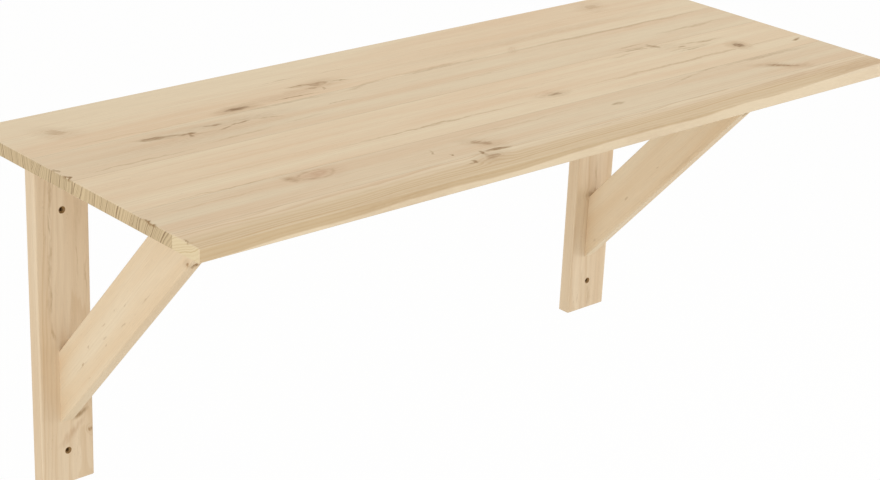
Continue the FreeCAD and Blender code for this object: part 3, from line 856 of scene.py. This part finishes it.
def makeScrew(name, lengthMm, isPan):  # upright, with the face of its head at the origin
    head, shank, core = (screw[size] / 2 for size in ("headMm", "shankMm", "coreMm"))
    plain = -lengthMm * screw["plainShare"]
    under = [(head, -screw["panMm"]), (shank, -screw["panMm"])] if isPan else [(shank, shank - head)]
    tip = [(radius, height - lengthMm) for radius, height in screw["tipMm"]]
    piece = turnedPiece(name, [(head, 0)] + under + [
        (shank, plain), (core, plain - screw["stepMm"]), (core, screw["pointMm"] - lengthMm)] + tip,
        screw["turnedSides"])
    if isPan:
        bpy.context.view_layer.objects.active = piece
        bpy.ops.object.mode_set(mode="EDIT")
        selectWhere(piece, "polygons", lambda face: face.normal.z > squarely)
        bpy.ops.mesh.bevel(offset=screw["panRoundMm"] * mm, segments=screw["panSegments"],
                           affect="EDGES")
        bpy.ops.object.mode_set(mode="OBJECT")
    above, below = screw["bareMm"]
    ridge = threadRidge(plain - above, below - lengthMm)
    cutter = crossCutter()
    useModifier(piece, "BOOLEAN", operation="UNION", object=ridge, solver="EXACT")
    useModifier(piece, "BOOLEAN", operation="DIFFERENCE", object=cutter, solver="EXACT")
    bpy.data.objects.remove(ridge)
    bpy.data.objects.remove(cutter)
    bpy.ops.object.select_all(action="DESELECT")
    piece.select_set(True)
    bpy.context.view_layer.objects.active = piece
    bpy.ops.object.mode_set(mode="EDIT")
    bpy.ops.mesh.select_all(action="SELECT")
    bpy.ops.mesh.remove_doubles(threshold=screw["mergeMm"][1] * mm)
    bpy.ops.mesh.normals_make_consistent(inside=False)
    bpy.ops.object.mode_set(mode="OBJECT")
    bpy.ops.object.shade_smooth_by_angle(angle=math.radians(screw["smoothDegrees"]))
    return piece


dowel = {
    "sides": 48,  # every second side becomes a flute
    "smoothDegrees": 20,
    "roundMm": 7.98,
    "easeMm": 0.5,
    "fluteMm": (0.1, 0.3),  # how far in a flute's walls lean, and its depth
    # Waves in a millimetre across the grain and along it, and detail
    "patterns": {"fibre": (3, 0.08, 3), "fleck": (1.6, 0.35, 0)},
    "fleckEdge": {"From Min": 0.6, "From Max": 0.75, "To Max": 0.4},
    "openFibreMm": 0.03,
    "pale": "#c79b6e",
    "dark": "#a97a4e",
    "fleck": "#8a5f3a",
    "end": "#b08456",
    "roughness": {"To Min": 0.5, "To Max": 0.64},
    "ior": 1.5,
}


def makeDowel(name, lengthMm):  # upright, with its lower end at the origin
    radius = dowel["roundMm"] / 2
    ease = dowel["easeMm"]
    piece = turnedPiece(name, [(radius - ease, 0), (radius, ease), (radius, lengthMm - ease),
                               (radius - ease, lengthMm)], dowel["sides"])
    bpy.ops.object.mode_set(mode="EDIT")
    every = math.tau / dowel["sides"]
    selectWhere(piece, "polygons", lambda face: math.hypot(face.normal.x, face.normal.y) > squarely and
                round(math.atan2(face.normal.y, face.normal.x) / every - 0.5) % 2 == 0)
    leanMm, depthMm = dowel["fluteMm"]
    bpy.ops.mesh.inset(thickness=leanMm * mm, depth=-depthMm * mm, use_individual=True)
    bpy.ops.object.mode_set(mode="OBJECT")
    bpy.ops.object.shade_smooth_by_angle(angle=math.radians(dowel["smoothDegrees"]))
    return piece


def beechDowel():
    # Turned beech, unfinished: tight straight grain with short darker flecks
    material, tree = newMaterial("turned beech")
    seen = addNode(tree, "TexCoord").outputs["Object"]
    place = addNode(tree, "VectorMath", {0: seen, "Scale": 1 / mm}, operation="SCALE")
    shares = {}
    for name, (across, along, detail) in dowel["patterns"].items():
        stretched = addNode(tree, "VectorMath", {0: place, 1: (across, across, along)},
                            operation="MULTIPLY")
        shares[name] = addNode(tree, "TexNoise", {"Vector": stretched, "Scale": 1, "Detail": detail})
    fleck = addNode(tree, "MapRange", {"Value": shares["fleck"]} | dowel["fleckEdge"])
    facing = addNode(tree, "NewGeometry").outputs["True Normal"]
    facing = addNode(tree, "VectorMath", {0: facing, 1: (0, 0, 1)}, operation="DOT_PRODUCT")
    facing = addNode(tree, "Math", {0: facing.outputs["Value"]}, operation="ABSOLUTE")
    wood = linearColour(dowel["pale"])
    for share, colour in ((shares["fibre"], "dark"), (fleck, "fleck"), (facing, "end")):
        wood = addNode(tree, "Mix", {0: share, 6: wood, 7: linearColour(dowel[colour])},
                       data_type="RGBA").outputs[2]
    roughness = addNode(tree, "MapRange", {"Value": shares["fibre"]} | dowel["roughness"])
    bump = addNode(tree, "Bump", {"Height": shares["fibre"], "Distance": dowel["openFibreMm"] * mm,
                                  "Strength": 1})
    skin = addNode(tree, "BsdfPrincipled", {"Base Color": wood, "Roughness": roughness,
                                            "IOR": dowel["ior"], "Normal": bump})
    addNode(tree, "OutputMaterial", {"Surface": skin})
    return material


def zincScrew():
    # Zinc-plated steel: bright and a little cloudy, with fine scuffs from the thread rolls
    material, tree = newMaterial("zinc-plated steel")
    seen = addNode(tree, "TexCoord").outputs["Object"]
    cloud = addNode(tree, "TexNoise", {"Vector": seen, "Scale": 1 / (screw["cloudMm"] * mm), "Detail": 3})
    scuffs = addNode(tree, "TexNoise", {"Vector": seen, "Scale": 1 / (screw["scuffMm"] * mm), "Detail": 2})
    patch = addNode(tree, "MapRange", {"Value": cloud} | screw["cloudEdge"])
    plating = addNode(tree, "Mix", {0: patch, 6: linearColour(screw["zinc"]),
                                    7: linearColour(screw["yellowed"])}, data_type="RGBA").outputs[2]
    roughness = addNode(tree, "MapRange", {"Value": scuffs} | screw["roughness"])
    bump = addNode(tree, "Bump", {"Height": scuffs, "Distance": screw["scuffDepthMm"] * mm,
                                  "Strength": screw["scuffStrength"]})
    skin = addNode(tree, "BsdfPrincipled", {"Base Color": plating, "Metallic": 1,
                                            "Roughness": roughness, "Normal": bump})
    addNode(tree, "OutputMaterial", {"Surface": skin})
    return material


def standIn(pattern, node, name, turn, place):  # one copy, put where its node is
    piece = pattern.copy()
    piece.data = pattern.data.copy()
    piece.name = name
    piece.rotation_euler = turn
    piece.location = place
    bpy.context.collection.objects.link(piece)
    bpy.ops.object.select_all(action="DESELECT")
    piece.select_set(True)
    bpy.context.view_layer.objects.active = piece
    bpy.ops.object.transform_apply(location=True, rotation=True, scale=True)
    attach(piece, "root")
    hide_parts(node)


def makeFixings():
    zinc = zincScrew()
    beech = beechDowel()
    low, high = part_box("left_foot_screw_lower")
    footScrew = makeScrew("foot screw", (high.y - low.y) / mm, False)
    low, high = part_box("left_top_screw")
    topScrew = makeScrew("top screw", (high.z - low.z) / mm, True)
    low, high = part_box("left_dowel_outer")
    flutedDowel = makeDowel("fluted dowel", (high.z - low.z) / mm)
    for screwPattern in (footScrew, topScrew):
        screwPattern.data.materials.append(zinc)
    flutedDowel.data.materials.append(beech)
    for node in list(nodes):
        low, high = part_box(node)
        middle = (low + high) / 2
        if "foot_screw" in node:
            standIn(footScrew, node, "threaded_" + node, (-math.pi / 2, 0, 0),
                    (middle.x, high.y, middle.z))
        elif "top_screw" in node:
            standIn(topScrew, node, "threaded_" + node, (math.pi, 0, 0),
                    (middle.x, middle.y, low.z))
        elif "dowel" in node:
            standIn(flutedDowel, node, "fluted_" + node, (0, 0, 0),
                    (middle.x, middle.y, low.z))
    for pattern in (footScrew, topScrew, flutedDowel):
        bpy.data.objects.remove(pattern)


makeFixings()
print("fixings made")
